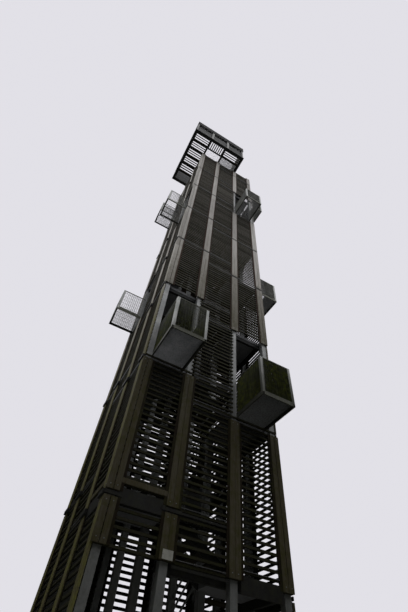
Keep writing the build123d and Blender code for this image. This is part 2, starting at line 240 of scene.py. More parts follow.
# %% Bars along guide lines
def node_tree(name, *inputs):
    """An empty geometry tree with its inputs, and its first and last node."""
    tree = bpy.data.node_groups.new(name, "GeometryNodeTree")
    tree.interface.new_socket("Geometry", in_out="OUTPUT", socket_type="NodeSocketGeometry")
    tree.interface.new_socket("Geometry", in_out="INPUT", socket_type="NodeSocketGeometry")
    for label, kind in inputs:
        tree.interface.new_socket(label, in_out="INPUT", socket_type=kind)
    return tree, tree.nodes.new("NodeGroupInput"), tree.nodes.new("NodeGroupOutput")


def attribute(tree, name):
    """Reader of a vector kept on each guide point."""
    reader = tree.nodes.new("GeometryNodeInputNamedAttribute")
    reader.data_type = "FLOAT_VECTOR"
    reader.inputs["Name"].default_value = name
    return reader.outputs["Attribute"]


def finish_tree(tree, first, last, instances):
    """Real geometry with its material, as the tree's result."""
    real = tree.nodes.new("GeometryNodeRealizeInstances")
    paint = tree.nodes.new("GeometryNodeSetMaterial")
    tree.links.new(instances, real.inputs["Geometry"])
    tree.links.new(real.outputs["Geometry"], paint.inputs["Geometry"])
    tree.links.new(first.outputs["Material"], paint.inputs["Material"])
    tree.links.new(paint.outputs["Geometry"], last.inputs["Geometry"])


bar_tree, first, last = node_tree(
    "bars_along_guides",
    ("Spacing", "NodeSocketFloat"),
    ("Material", "NodeSocketMaterial"),
)
curve = bar_tree.nodes.new("GeometryNodeMeshToCurve")
steps = bar_tree.nodes.new("GeometryNodeResampleCurve")
steps.mode = "LENGTH"
cube = bar_tree.nodes.new("GeometryNodeMeshCube")
place = bar_tree.nodes.new("GeometryNodeInstanceOnPoints")
bar_tree.links.new(first.outputs["Geometry"], curve.inputs["Mesh"])
bar_tree.links.new(curve.outputs["Curve"], steps.inputs["Curve"])
bar_tree.links.new(first.outputs["Spacing"], steps.inputs["Length"])
bar_tree.links.new(steps.outputs["Curve"], place.inputs["Points"])
bar_tree.links.new(cube.outputs["Mesh"], place.inputs["Instance"])
bar_tree.links.new(attribute(bar_tree, "bar_size"), place.inputs["Scale"])
finish_tree(bar_tree, first, last, place.outputs["Instances"])

# %% Bolt heads on points
bolt_tree, first, last = node_tree(
    "bolts_on_points",
    ("Radius", "NodeSocketFloat"),
    ("Height", "NodeSocketFloat"),
    ("Material", "NodeSocketMaterial"),
)
head = bolt_tree.nodes.new("GeometryNodeMeshCylinder")
head.inputs["Vertices"].default_value = 6
turn = bolt_tree.nodes.new("FunctionNodeAlignRotationToVector")
turn.axis = "Z"
place = bolt_tree.nodes.new("GeometryNodeInstanceOnPoints")
bolt_tree.links.new(first.outputs["Geometry"], place.inputs["Points"])
bolt_tree.links.new(first.outputs["Radius"], head.inputs["Radius"])
bolt_tree.links.new(first.outputs["Height"], head.inputs["Depth"])
bolt_tree.links.new(head.outputs["Mesh"], place.inputs["Instance"])
bolt_tree.links.new(attribute(bolt_tree, "facing"), turn.inputs["Vector"])
bolt_tree.links.new(turn.outputs["Rotation"], place.inputs["Rotation"])
finish_tree(bolt_tree, first, last, place.outputs["Instances"])


# %% Running a tree
def grow(name, guide, tree, settings, material, stands_for=()):
    """A piece that a tree makes from a guide mesh."""
    grower = bpy.data.objects.new(name + "_guide", guide)
    bpy.context.scene.collection.objects.link(grower)
    modifier = grower.modifiers.new("grow", "NODES")
    modifier.node_group = tree
    for item in tree.interface.items_tree:
        if item.in_out == "INPUT" and item.name in settings:
            modifier[item.identifier] = settings[item.name]
        if item.in_out == "INPUT" and item.name == "Material":
            modifier[item.identifier] = material
    evaluated = grower.evaluated_get(bpy.context.evaluated_depsgraph_get())
    data = bpy.data.meshes.new_from_object(evaluated)
    grower.modifiers.clear()
    bpy.data.objects.remove(grower)
    data.name = name
    print(name, len(data.polygons), "faces")
    add_piece(name, data, material, stands_for)


def bars(name, rows, spacing, material, stands_for=()):
    """Bars at one spacing. Each row is the start and end of its guide line and its bar's size."""
    guide = bpy.data.meshes.new(name + "_guide")
    points = [point for start, end, _ in rows for point in (start, end)]
    guide.from_pydata(points, [(2 * i, 2 * i + 1) for i in range(len(rows))], [])
    sizes = guide.attributes.new("bar_size", "FLOAT_VECTOR", "POINT")
    for i, (_, _, size) in enumerate(rows):
        sizes.data[2 * i].vector = size
        sizes.data[2 * i + 1].vector = size
    grow(name, guide, bar_tree, {"Spacing": spacing}, material, stands_for)


def bolts(name, heads, radius, height, material):
    """Bolt heads. Each is a point on a surface and the direction that the surface faces."""
    guide = bpy.data.meshes.new(name + "_guide")
    guide.from_pydata([point + facing * height / 2 for point, facing in heads], [], [])
    facings = guide.attributes.new("facing", "FLOAT_VECTOR", "POINT")
    for i, (_, facing) in enumerate(heads):
        facings.data[i].vector = facing
    grow(name, guide, bolt_tree, {"Radius": radius, "Height": height}, material)


# %% [markdown]
# ## Materials
# Everything here has stood outdoors for years, so three shared node groups carry the look: the grain
# of boards, the weather that runs down a surface and changes it near the ground, and the mottled grey
# of hot-dip galvanising. Each material mixes them with its own colours. Near the ground the colours
# are partly moisture and moss and partly painted: painted shade on the sheltered lower storeys and
# painted light at the galvanised foot. All the materials read object coordinates, so a board keeps its
# grain from every side.

# %% Shader helpers
def shader_group(name, inputs, outputs):
    """A shader node group with named sockets, and its first and last node."""
    group = bpy.data.node_groups.new(name, "ShaderNodeTree")
    for label, kind, value in inputs:
        socket = group.interface.new_socket(label, in_out="INPUT", socket_type=kind)
        socket.default_value = value
    for label, kind in outputs:
        group.interface.new_socket(label, in_out="OUTPUT", socket_type=kind)
    return group, group.nodes.new("NodeGroupInput"), group.nodes.new("NodeGroupOutput")


def math_node(tree, operation, a, b, clamp=False):
    """One sum. Each of a and b is a socket or a number."""
    node = tree.nodes.new("ShaderNodeMath")
    node.operation = operation
    node.use_clamp = clamp
    for socket, value in zip(node.inputs, (a, b)):
        if isinstance(value, (int, float)):
            socket.default_value = value
        else:
            tree.links.new(value, socket)
    return node.outputs["Value"]


def noise(tree, coordinates, scale, detail=3.0, roughness=0.5):
    """Soft noise from 0 to 1. A larger scale makes smaller spots."""
    node = tree.nodes.new("ShaderNodeTexNoise")
    node.inputs["Scale"].default_value = scale
    node.inputs["Detail"].default_value = detail
    node.inputs["Roughness"].default_value = roughness
    tree.links.new(coordinates, node.inputs["Vector"])
    return node.outputs["Fac"]


def vector_node(tree, operation, a, b):
    """One vector sum. Each of a and b is a socket or three numbers."""
    node = tree.nodes.new("ShaderNodeVectorMath")
    node.operation = operation
    for socket, value in zip(node.inputs, (a, b)):
        if isinstance(value, (tuple, list)):
            socket.default_value = value
        else:
            tree.links.new(value, socket)
    return node.outputs["Vector"]


def ramp(tree, value, low, high):
    """A value stretched so that low becomes 0 and high becomes 1."""
    node = tree.nodes.new("ShaderNodeMapRange")
    node.inputs["From Min"].default_value = low
    node.inputs["From Max"].default_value = high
    tree.links.new(value, node.inputs["Value"])
    return node.outputs["Result"]


def mix(tree, share, one, other):
    """A colour between two. Each is a socket or a colour."""
    node = tree.nodes.new("ShaderNodeMix")
    node.data_type = "RGBA"
    colours = [socket for socket in node.inputs if socket.type == "RGBA"]
    for socket, value in zip([node.inputs[0]] + colours, (share, one, other)):
        if isinstance(value, (int, float)):
            socket.default_value = value
        elif isinstance(value, tuple):
            socket.default_value = (*value, 1.0)
        else:
            tree.links.new(value, socket)
    return [socket for socket in node.outputs if socket.type == "RGBA"][0]


# %% Grain of boards
grain_group, first, last = shader_group(
    "board_grain",
    [("Board Size", "NodeSocketVector", (1, 1, 1)), ("Stretch", "NodeSocketVector", (1, 1, 1))],
    [("Board", "NodeSocketFloat"), ("Grain", "NodeSocketFloat"), ("Height", "NodeSocketFloat")],
)
place = grain_group.nodes.new("ShaderNodeTexCoord").outputs["Object"]
cell = vector_node(grain_group, "DIVIDE", place, first.outputs["Board Size"])
cell = vector_node(grain_group, "FLOOR", cell, (0, 0, 0))
white = grain_group.nodes.new("ShaderNodeTexWhiteNoise")
grain_group.links.new(cell, white.inputs["Vector"])
shift = vector_node(grain_group, "SCALE", white.outputs["Color"], (0, 0, 0))
shift.node.inputs["Scale"].default_value = 20.0
stretched = vector_node(grain_group, "MULTIPLY", place, first.outputs["Stretch"])
moved = vector_node(grain_group, "ADD", stretched, shift)
fibres = noise(grain_group, moved, 1.0, 5.0, 0.6)
rings = noise(grain_group, moved, 0.25, 2.0)
fine = math_node(grain_group, "MULTIPLY", fibres, 0.65)
coarse = math_node(grain_group, "MULTIPLY", rings, 0.35)
grain = math_node(grain_group, "ADD", fine, coarse)
grain_group.links.new(white.outputs["Value"], last.inputs["Board"])
grain_group.links.new(ramp(grain_group, grain, 0.35, 0.65), last.inputs["Grain"])
grain_group.links.new(fibres, last.inputs["Height"])

# %% Weather
weather_group, first, last = shader_group(
    "weather",
    [("Lower Part Full Height", "NodeSocketFloat", 6.0), ("Lower Part End Height", "NodeSocketFloat", 24.0)],
    [("Lower Part", "NodeSocketFloat"), ("Moss", "NodeSocketFloat"), ("Runs", "NodeSocketFloat")],
)
place = weather_group.nodes.new("ShaderNodeTexCoord").outputs["Object"]
split = weather_group.nodes.new("ShaderNodeSeparateXYZ")
weather_group.links.new(place, split.inputs["Vector"])
# This ramp is 1 near the ground and fades to 0 higher up. The materials change colour by it: partly for
# moisture and moss, partly as painted shade of the sheltered lower storeys and as painted light at the
# galvanised foot.
rise = weather_group.nodes.new("ShaderNodeMapRange")
rise.interpolation_type = "SMOOTHSTEP"
weather_group.links.new(split.outputs["Z"], rise.inputs["Value"])
weather_group.links.new(first.outputs["Lower Part Full Height"], rise.inputs["From Min"])
weather_group.links.new(first.outputs["Lower Part End Height"], rise.inputs["From Max"])
rise.inputs["To Min"].default_value = 1.0
rise.inputs["To Max"].default_value = 0.0
cloud = noise(weather_group, place, 1.3, 4.0)
patch = noise(weather_group, place, 6.0, 4.0, 0.65)
run_place = vector_node(weather_group, "MULTIPLY", place, (22.0, 22.0, 0.9))
run_noise = noise(weather_group, run_place, 1.0, 3.0)
moss = math_node(weather_group, "MULTIPLY", ramp(weather_group, patch, 0.42, 0.62), rise.outputs["Result"])
moss = math_node(weather_group, "MULTIPLY", moss, ramp(weather_group, cloud, 0.3, 0.6), clamp=True)
weather_group.links.new(rise.outputs["Result"], last.inputs["Lower Part"])
weather_group.links.new(moss, last.inputs["Moss"])
weather_group.links.new(ramp(weather_group, run_noise, 0.45, 0.75), last.inputs["Runs"])

# %% Galvanising
zinc_group, first, last = shader_group(
    "galvanising",
    [("Flake Scale", "NodeSocketFloat", 28.0)],
    [("Flakes", "NodeSocketFloat"), ("Bloom", "NodeSocketFloat"), ("Scratches", "NodeSocketFloat")],
)
place = zinc_group.nodes.new("ShaderNodeTexCoord").outputs["Object"]
flakes = zinc_group.nodes.new("ShaderNodeTexVoronoi")
zinc_group.links.new(place, flakes.inputs["Vector"])
zinc_group.links.new(first.outputs["Flake Scale"], flakes.inputs["Scale"])
grey = zinc_group.nodes.new("ShaderNodeRGBToBW")
zinc_group.links.new(flakes.outputs["Color"], grey.inputs["Color"])
bloom = noise(zinc_group, place, 3.0, 5.0, 0.6)
scratches = noise(zinc_group, vector_node(zinc_group, "MULTIPLY", place, (9.0, 9.0, 60.0)), 1.0, 2.0)
zinc_group.links.new(grey.outputs["Val"], last.inputs["Flakes"])
zinc_group.links.new(ramp(zinc_group, bloom, 0.45, 0.7), last.inputs["Bloom"])
zinc_group.links.new(scratches, last.inputs["Scratches"])


# %% Timber and steel
def use_group(tree, group, settings):
    """A shared group inside a material, with its own settings."""
    node = tree.nodes.new("ShaderNodeGroup")
    node.node_tree = group
    for label, value in settings.items():
        node.inputs[label].default_value = value
    return node.outputs


def new_material(name):
    """A new material, its node tree and its main shader."""
    material = bpy.data.materials.new(name)
    material.use_nodes = True
    return material, material.node_tree, material.node_tree.nodes["Principled BSDF"]


def add_bump(tree, shader, height, strength, distance):
    """Raise a shader's surface by a height. distance is the full height in metres."""
    bump = tree.nodes.new("ShaderNodeBump")
    bump.inputs["Strength"].default_value = strength
    bump.inputs["Distance"].default_value = distance
    tree.links.new(height, bump.inputs["Height"])
    tree.links.new(bump.outputs["Normal"], shader.inputs["Normal"])


def timber(name, colours, board, run, lower_part_heights=(5.0, 22.0), moss=0.6):
    """Weathered boards. colours are dark, light, the colour taken towards the ground, and moss, board is
    the size of one board and run is the axis, 0 to 2, that the grain follows."""
    material, tree, shader = new_material(name)
    dark, light, low_colour, green = colours
    stretch = [70.0, 70.0, 70.0]
    stretch[run] = 2.5
    grain = use_group(tree, grain_group, {"Board Size": board, "Stretch": stretch})
    weather = use_group(tree, weather_group, {"Lower Part Full Height": lower_part_heights[0], "Lower Part End Height": lower_part_heights[1]})
    share = math_node(tree, "MULTIPLY", grain["Board"], 0.55)
    share = math_node(tree, "ADD", share, math_node(tree, "MULTIPLY", grain["Grain"], 0.45))
    colour = mix(tree, share, dark, light)
    # Towards the ground the boards take their third, darker colour: partly moisture and moss, partly
    # painted shade of the sheltered lower storeys.
    low_grain_colour = mix(tree, math_node(tree, "MULTIPLY", grain["Grain"], 0.14), low_colour, dark)
    runs_part = math_node(tree, "MULTIPLY", weather["Runs"], 0.25)
    low_share = math_node(tree, "ADD", weather["Lower Part"], runs_part, clamp=True)
    colour = mix(tree, math_node(tree, "MULTIPLY", low_share, 0.93), colour, low_grain_colour)
    colour = mix(tree, math_node(tree, "MULTIPLY", weather["Moss"], moss), colour, green)
    tree.links.new(colour, shader.inputs["Base Color"])
    rough = math_node(tree, "SUBTRACT", 0.9, math_node(tree, "MULTIPLY", weather["Lower Part"], 0.15))
    tree.links.new(rough, shader.inputs["Roughness"])
    shader.inputs["Specular IOR Level"].default_value = 0.12
    add_bump(tree, shader, grain["Height"], 0.5, 0.004)
    return material


def steel(name, colours, metallic, roughness, lower_part_heights=(3.0, 12.0), moss=0.35, low_weight=0.35):
    """Galvanised or painted steel. colours are dark, light, the colour taken along runs and towards the
    ground, and moss, and the last argument sets how much of that colour the lower part takes."""
    material, tree, shader = new_material(name)
    dark, light, runs_and_low_colour, green = colours
    zinc = use_group(tree, zinc_group, {})
    weather = use_group(tree, weather_group, {"Lower Part Full Height": lower_part_heights[0], "Lower Part End Height": lower_part_heights[1]})
    share = math_node(tree, "MULTIPLY", zinc["Flakes"], 0.35)
    share = math_node(tree, "ADD", share, math_node(tree, "MULTIPLY", zinc["Bloom"], 0.65))
    colour = mix(tree, share, dark, light)
    # Along runs and towards the ground the steel takes its third colour. Near the ground this is painted
    # light on galvanised steel and painted shade on the balcony floors.
    runs_and_low_share = math_node(tree, "MULTIPLY", weather["Runs"], 0.45)
    runs_and_low_share = math_node(tree, "ADD", runs_and_low_share, math_node(tree, "MULTIPLY", weather["Lower Part"], low_weight), clamp=True)
    colour = mix(tree, runs_and_low_share, colour, runs_and_low_colour)
    colour = mix(tree, math_node(tree, "MULTIPLY", weather["Moss"], moss), colour, green)
    tree.links.new(colour, shader.inputs["Base Color"])
    shader.inputs["Metallic"].default_value = metallic
    shader.inputs["Specular IOR Level"].default_value = 0.25
    rough = math_node(tree, "ADD", roughness, math_node(tree, "MULTIPLY", runs_and_low_share, 0.25), clamp=True)
    tree.links.new(rough, shader.inputs["Roughness"])
    add_bump(tree, shader, zinc["Scratches"], 0.12, 0.001)
    return material


# %% The tower's own materials
MOSS = (0.045, 0.05, 0.014)
POST_COLOURS = ((0.31, 0.293, 0.286), (0.7, 0.68, 0.67), (0.058, 0.046, 0.012), (0.062, 0.063, 0.006))
SLAT_COLOURS = ((0.06, 0.056, 0.05), (0.285, 0.27, 0.248), (0.023, 0.021, 0.009), MOSS)
BACK_SHADE_COLOURS = ((0.014, 0.013, 0.011), (0.06, 0.055, 0.05), (0.009, 0.008, 0.004), MOSS)
LEFT_COLOURS = ((0.3, 0.287, 0.27), (0.68, 0.665, 0.64), (0.15, 0.13, 0.05), (0.24, 0.24, 0.06))
PLATFORM_COLOURS = ((0.09, 0.09, 0.095), (0.22, 0.22, 0.23), (0.08, 0.08, 0.08), MOSS)
RIM_COLOURS = ((0.035, 0.035, 0.038), (0.1, 0.1, 0.105), (0.04, 0.04, 0.04), MOSS)
TREAD_COLOURS = ((0.07, 0.055, 0.04), (0.2, 0.165, 0.125), (0.04, 0.032, 0.022), MOSS)
ZINC_COLOURS = ((0.2, 0.205, 0.215), (0.4, 0.405, 0.415), (0.37, 0.375, 0.375), MOSS)
SHEET_COLOURS = ((0.24, 0.245, 0.27), (0.4, 0.405, 0.435), (0.26, 0.26, 0.275), MOSS)
DARK_AND_SHADE_COLOURS = ((0.018, 0.019, 0.021), (0.05, 0.052, 0.056), (0.03, 0.027, 0.023), MOSS)
MESH_COLOURS = ((0.125, 0.128, 0.122), (0.27, 0.273, 0.265), (0.03, 0.034, 0.008), (0.1, 0.118, 0.01))
FLOOR_COLOURS = ((0.2, 0.205, 0.22), (0.32, 0.325, 0.345), (0.08, 0.085, 0.08), MOSS)
ANGLE_COLOURS = ((0.36, 0.37, 0.37), (0.62, 0.63, 0.63), (0.09, 0.092, 0.078), MOSS)
CHANNEL_COLOURS = ((0.075, 0.077, 0.064), (0.16, 0.163, 0.14), (0.06, 0.06, 0.045), MOSS)
EDGE_SHADE_COLOURS = ((0.025, 0.016, 0.013), (0.07, 0.045, 0.037), (0.02, 0.014, 0.008), MOSS)
FACE_COLOURS = ((0.26, 0.26, 0.265), (0.5, 0.5, 0.51), (0.2, 0.2, 0.2), MOSS)
PLATE_COLOURS = ((0.62, 0.62, 0.58), (0.8, 0.8, 0.76), (0.5, 0.5, 0.45), MOSS)
SLAT_PITCH = solids("slats_left")[1][0].z - solids("slats_left")[0][0].z
UNCUT = 9.0
POST_BOARD = (0.71, 0.71, 4.0)
TREAD_W, TREAD_RISE = 0.277, 0.1667
SLAT_LOWER_PART_HEIGHTS = (6.0, 27.0)

# The slats darken from 27 m down to 6 m: partly moisture and moss, partly painted shade of the sheltered
# lower storeys.
slat_x = timber("slat_timber_x", SLAT_COLOURS, (1.5, UNCUT, SLAT_PITCH), 0, lower_part_heights=SLAT_LOWER_PART_HEIGHTS)
slat_y = timber("slat_timber_y", SLAT_COLOURS, (UNCUT, 1.5, SLAT_PITCH), 1, lower_part_heights=SLAT_LOWER_PART_HEIGHTS)
# The slat backs' dark colours are painted shade between the slats.
back_shade_x = timber("slat_back_shade_x", BACK_SHADE_COLOURS, (1.5, UNCUT, SLAT_PITCH), 0, lower_part_heights=SLAT_LOWER_PART_HEIGHTS)
back_shade_y = timber("slat_back_shade_y", BACK_SHADE_COLOURS, (UNCUT, 1.5, SLAT_PITCH), 1, lower_part_heights=SLAT_LOWER_PART_HEIGHTS)
post_timber = timber("post_timber", POST_COLOURS, POST_BOARD, 2, lower_part_heights=(6.0, 22.0))
left_timber = timber("left_post_timber", LEFT_COLOURS, POST_BOARD, 2, lower_part_heights=(6.0, 17.0), moss=0.9)
# The edge boards' dark red-brown is painted shade of the posts' side faces.
edge_shade_timber = timber("edge_shade_timber", EDGE_SHADE_COLOURS, POST_BOARD, 2, lower_part_heights=(6.0, 16.0))
face_timber = timber("face_timber", FACE_COLOURS, (1.5, 1.5, 4.0), 2)
tread_x = timber("tread_timber_x", TREAD_COLOURS, (TREAD_W, UNCUT, TREAD_RISE), 1)
tread_y = timber("tread_timber_y", TREAD_COLOURS, (UNCUT, TREAD_W, TREAD_RISE), 0)
deck_timber = timber("deck_timber", TREAD_COLOURS, (1.6, 0.175, UNCUT), 0)
platform_timber = timber("platform_timber", PLATFORM_COLOURS, (1.6, 1.6, 0.35), 0)
rim_timber = timber("rim_timber", RIM_COLOURS, (1.6, 1.6, 0.32), 0)
# Galvanised steel turns lighter towards its foot: painted light that lifts the shade of the ring.
galvanised = steel("galvanised_steel", ZINC_COLOURS, 0.55, 0.5)
sheet_steel = steel("sheet_steel", SHEET_COLOURS, 0.3, 0.55)
# Dark steel is near black. On the landing beams, stringers and platform frame this is partly painted
# shade; on the strips at the joints and the lines over the slats it is painted shade.
dark_steel = steel("dark_steel", DARK_AND_SHADE_COLOURS, 0.2, 0.5)
# These lower parts reach only the lowest balcony, so it comes out darker than the one above. On the floors
# this darkness is painted shade; the guards and angles there are darker too.
mesh_steel = steel("mesh_steel", MESH_COLOURS, 0.2, 0.6, lower_part_heights=(8.6, 11.4), moss=1.0, low_weight=0.9)
floor_steel = steel("floor_steel", FLOOR_COLOURS, 0.3, 0.5, lower_part_heights=(7.4, 9.0), moss=0.3, low_weight=0.9)
angle_steel = steel("angle_steel", ANGLE_COLOURS, 0.5, 0.5, lower_part_heights=(8.0, 9.6), low_weight=0.75)
channel_steel = steel("channel_steel", CHANNEL_COLOURS, 0.5, 0.5)
plate_steel = steel("plate_steel", PLATE_COLOURS, 0.2, 0.5)
print("materials", len(bpy.data.materials))

# %% Materials of the nodes that stay
NODE_MATERIALS = {
    "slats_front": slat_x, "slats_back": slat_x, "slats_left": slat_y, "slats_right": slat_y,
    "treads_front": tread_x, "treads_back": tread_x, "treads_left": tread_y, "treads_right": tread_y,
    "platform_deck": deck_timber, "platform_slats": platform_timber, "platform_rim": rim_timber,
    "platform_frame": dark_steel,
}
for name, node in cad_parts.items():
    material = NODE_MATERIALS.get(name, galvanised)
    # Landing beams and stringers take the near-black dark steel, which is partly painted shade inside the
    # tower.
    if name.startswith(("landing_beams", "stringers")):
        material = dark_steel
    if name.startswith("landings"):
        material = sheet_steel
    node.data.materials.clear()
    node.data.materials.append(material)

# %% [markdown]
# ## Slats between the columns
# The slats run past the columns as thin boards. Between the columns each one is backed by a second,
# much darker board, so that seen from the ground the upper walls close up and turn dark. These backs
# stand in for the shade between the slats, and their dark colour is painted shade. The backs are
# deepest on the back wall, where most sky shows through.

# %% Slat backs
BACK_T = {"front": 0.025, "left": 0.025, "right": 0.022, "back": 0.105}
BACK_TOUCH = 0.0005
LEAST_BACK = 0.3

shade_backs_x = bmesh.new()
shade_backs_y = bmesh.new()
for side in SIDES:
    for box in solids("slats_" + side):
        a0, a1, o0, _ = side_span(side, box)
        for low, high in zip(GRID, GRID[1:]):
            start, end = max(a0, low + HALF + BACK_TOUCH), min(a1, high - HALF - BACK_TOUCH)
            if end - start > LEAST_BACK:
                add_box(
                    shade_backs_x if SIDES[side][1].x else shade_backs_y,
                    on_side(side, start, o0 - BACK_TOUCH, box[0].z),
                    on_side(side, end, o0 - BACK_T[side], box[1].z),
                )
piece_from("slat_shade_backs_x", shade_backs_x, back_shade_x)
piece_from("slat_shade_backs_y", shade_backs_y, back_shade_y)

# %% [markdown]
# ## Timber on the posts
# Each length of cladding is a pair of pale boards side by side, with a darker board tucked in along
# each edge; the red-brown of these edge boards is painted shade of the posts' side faces. The lengths
# stop short of each other at every landing, where a dark steel strip crosses the post and runs on over
# the slats; its near-black is painted shade of the gap at the joint. On the left side these strips
# stand proud of the boards.

# %% Post boards
BOARD_JOINT = 0.004
CORNER_JOINT = 0.016
BOARD_CHAMFER = 0.005
EDGE_BOARD_W = 0.075
EDGE_BOARD_T = 0.026
BOLT_INSET = 0.09
BOLT_RADIUS, BOLT_HEIGHT = 0.013, 0.006
SKIN_FACE = side_span("front", solids("slats_front")[-1])[3]


def board_on_side(mesh, side, alongs, outs, heights, axis):
    """A chamfered board on a side, from its spans along it, out from it and upwards."""
    one = on_side(side, alongs[0], outs[0], heights[0])
    other = on_side(side, alongs[1], outs[1], heights[1])
    low = Vector([min(a, b) for a, b in zip(one, other)])
    high = Vector([max(a, b) for a, b in zip(one, other)])
    add_board(mesh, low, high, axis, BOARD_CHAMFER)


post_lengths = []
for side in SIDES:
    for box in solids("cladding_" + side):
        a0, a1, o0, o1 = side_span(side, box)
        post_lengths.append((side, a0, a1, o0, o1, box[0].z, box[1].z))

faces = bmesh.new()
left_faces = bmesh.new()
edges = bmesh.new()
heads = []
for side, a0, a1, o0, o1, foot, top in post_lengths:
    middle = (a0 + a1) / 2
    mesh = left_faces if side == "left" else faces
    joint = CORNER_JOINT if a0 < 0 or a1 > TOWER else BOARD_JOINT
    for start, end in ((a0, middle - joint / 2), (middle + joint / 2, a1)):
        board_on_side(mesh, side, (start, end), (o0, o1), (foot, top), 2)
        for z in (foot + BOLT_INSET, top - BOLT_INSET):
            heads.append((on_side(side, (start + end) / 2, o1, z), SIDES[side][2]))
    # Dark edge boards: their colour is painted shade of the posts' side faces.
    for start, end in ((a0 - EDGE_BOARD_W, a0), (a1, a1 + EDGE_BOARD_W)):
        if start > 0 and end < TOWER:
            board_on_side(edges, side, (start, end), (SKIN_FACE, SKIN_FACE + EDGE_BOARD_T), (foot, top), 2)
cladding = ["cladding_" + side for side in SIDES if side != "left"]
piece_from("post_boards", faces, post_timber, cladding)
piece_from("left_post_boards", left_faces, left_timber, ["cladding_left"])
piece_from("post_edge_shade_boards", edges, edge_shade_timber)
bolts("post_bolts", heads, BOLT_RADIUS, BOLT_HEIGHT, galvanised)

# %% Where the balconies are
AT_WALL = 0.2
LEAST_REACH = 1.0
OPEN_BELOW = 0.3
OPEN_ABOVE = 3.95

decks = []
for side in SIDES:
    for box in solids("balcony_decks"):
        a0, a1, o0, o1 = side_span(side, box)
        if -AT_WALL < o0 < AT_WALL and o1 > LEAST_REACH:
            decks.append((side, a0, a1, o0, o1, box[0].z, box[1].z))
print("balconies", len(decks))


def open_here(side, start, end, z):
    """Whether a balcony opens this stretch of a side at a height."""
    middle = (start + end) / 2
    floors = [deck[6] for deck in decks if deck[0] == side and deck[1] < middle < deck[2]]
    return any(floor - OPEN_BELOW < z < floor + OPEN_ABOVE for floor in floors)


# %% Steel strips at the joints
STRIP_H = 0.075
STRIP_BACK = 0.012
STRIP_PAST = 0.02
LEFT_STRIP_H = 0.1
LEFT_STRIP_PROUD = 0.045
WIDEST_JOINT = 0.3

# The strips are near-black steel: painted shade of the gap at each joint.
shade_strips = bmesh.new()
for side, a0, a1, _, o1, _, top in post_lengths:
    feet = [length[5] for length in post_lengths if length[:2] == (side, a0)]
    above = [foot for foot in feet if 0 < foot - top < WIDEST_JOINT]
    if above:
        middle = (top + above[0]) / 2
        start = max(a0 - EDGE_BOARD_W - STRIP_PAST, a0 if a0 < 0 else 0)
        end = min(a1 + EDGE_BOARD_W + STRIP_PAST, a1 if a1 > TOWER else TOWER)
        strip_h, proud = (LEFT_STRIP_H, LEFT_STRIP_PROUD) if side == "left" else (STRIP_H, -STRIP_BACK)
        add_box(
            shade_strips,
            on_side(side, start, SKIN_FACE, middle - strip_h / 2),
            on_side(side, end, o1 + proud, middle + strip_h / 2),
        )

# %% Lines over the slats, landing lips and toe boards
POST_EDGE = 0.15
LINE_H = 0.05
LINE_T = 0.02
LINE_DROP = 0.01
ENTRANCE_TOP = 2.0
DEEP_LINE_H = 0.32
DEEP_FROM, DEEP_TO = 3.0, 5.5
DEEP_LONGEST = 1.3
LIP_H = 0.008
LIP_RISE = 0.1
TOE_FROM = 4.5
TOE_RISE = 0.09
TOE_H = 0.12
TOE_T = 0.028


def bays_of_run(start, end):
    """Clear stretches between post timbers under a landing beam."""
    spans = [(low, high) for low, high in zip(GRID, GRID[1:]) if start < (low + high) / 2 < end]
    return [(low + POST_EDGE, high - POST_EDGE) for low, high in spans]


def add_line(side, start, end, middle):
    """The near-black line over the slats of one bay, its lip, and a toe board where the landing has one.
    The line's near-black is painted shade of the landing's edge.
    """
    deep = DEEP_FROM < middle < DEEP_TO and end - start < DEEP_LONGEST
    half = DEEP_LINE_H / 2 if deep else LINE_H / 2
    low, high = middle - half, middle + half
    if deep and middle > TOE_FROM:
        foot = high + TOE_RISE
        outs = (SKIN_FACE, SKIN_FACE + TOE_T)
        board_on_side(toes, side, (start, end), outs, (foot, foot + TOE_H), side_axis(side))
    lip = high + LIP_RISE
    out = SKIN_FACE + LINE_T
    add_box(shade_strips, on_side(side, start, SKIN_FACE, low), on_side(side, end, out, high))
    add_box(lips, on_side(side, start, SKIN_FACE, lip), on_side(side, end, out, lip + LIP_H))


lips = bmesh.new()
toes = bmesh.new()
for side in SIDES:
    for box in solids("landing_beams_" + side):
        a0, a1, _, _ = side_span(side, box)
        middle = (box[0].z + box[1].z) / 2 - LINE_DROP
        for start, end in bays_of_run(a0, a1):
            entrance = side == "front" and middle < ENTRANCE_TOP
            if not entrance and not open_here(side, start, end, middle):
                add_line(side, start, end, middle)
piece_from("joint_shade_strips", shade_strips, dark_steel)
piece_from("landing_lips", lips, sheet_steel)
piece_from("toe_boards", toes, post_timber)

# %% Bare plate on a front post
PLATE_W = 0.24
PLATE_LOW, PLATE_HIGH = 3.86, 4.03
PLATE_SHIFT = 0.03
PLATE_T = 0.006
PLATE_CHAMFER = 0.002

plate = bmesh.new()
timber_face = side_span("front", solids("cladding_front")[0])[3]
add_board(
    plate,
    Vector((GRID[1] + PLATE_SHIFT - PLATE_W / 2, -timber_face - PLATE_T, PLATE_LOW)),
    Vector((GRID[1] + PLATE_SHIFT + PLATE_W / 2, -timber_face, PLATE_HIGH)),
    2,
    PLATE_CHAMFER,
)
piece_from("post_plate", plate, plate_steel)

# %% [markdown]
# ## Balconies
# The floors and guards are open steel gratings: deep thin bars that hide what is behind them at a
# slant and let the sky through when seen along their length. Channels with narrow lower flanges
# carry each floor, and heavy angles stand at the two outer corners.

# %% Balcony gratings
BAR_SPACING = 0.037
BAR_T = 0.003
ROD_SPACING = 0.1
ROD_T = 0.007

